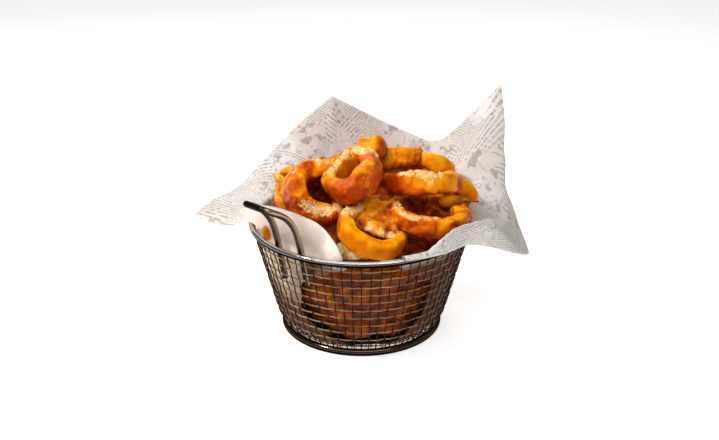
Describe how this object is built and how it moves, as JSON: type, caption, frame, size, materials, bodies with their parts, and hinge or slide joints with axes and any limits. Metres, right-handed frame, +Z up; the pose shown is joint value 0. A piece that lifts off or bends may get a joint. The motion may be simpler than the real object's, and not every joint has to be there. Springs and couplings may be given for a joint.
{
  "type": "onion ring",
  "caption": "Sauced, battered onion rings heaped in a round wire-mesh serving basket with a wire ear handle, lined with printed paper that stands up behind the food",
  "frame": {"origin": "on the table, at the middle of the object's overall footprint in plan, which is the basket's own axis within about 1.5 mm", "axes": "+Z up; +X to the viewer's right, along the widest extent of the paper; +Y away from the viewer, so the handle is at the front left"},
  "size_m": [0.2324, 0.1647, 0.1556],
  "materials": {
    "bronze_wire": "polished dark bronze",
    "dark_mesh": "dark satin wire",
    "liner_paper": "matt greaseproof paper with grey print",
    "sauced_crust": "glossy orange sauce over fried batter",
    "pale_crust": "golden fried batter with pale crumbs",
    "pale_onion": "moist pale onion"
  },
  "bodies": {
    "root": {"rim_wire": "bronze_wire", "base_wire": "bronze_wire", "handle": "bronze_wire", "mesh_wall": "dark_mesh", "mesh_floor": "dark_mesh", "paper_liner": "liner_paper", "ring_heap": "sauced_crust", "ring_front": "pale_crust", "ring_centre": "sauced_crust", "ring_right_front": "sauced_crust", "ring_left": "sauced_crust", "ring_right": "sauced_crust", "ring_top": "pale_crust", "ring_back": "sauced_crust", "ring_back_right": "pale_crust", "ring_left_back": "pale_crust", "ring_left_low": "pale_crust", "ring_right_end": "pale_crust", "ring_middle": "pale_crust", "onion_slice": "pale_onion"}
  },
  "joints": []
}
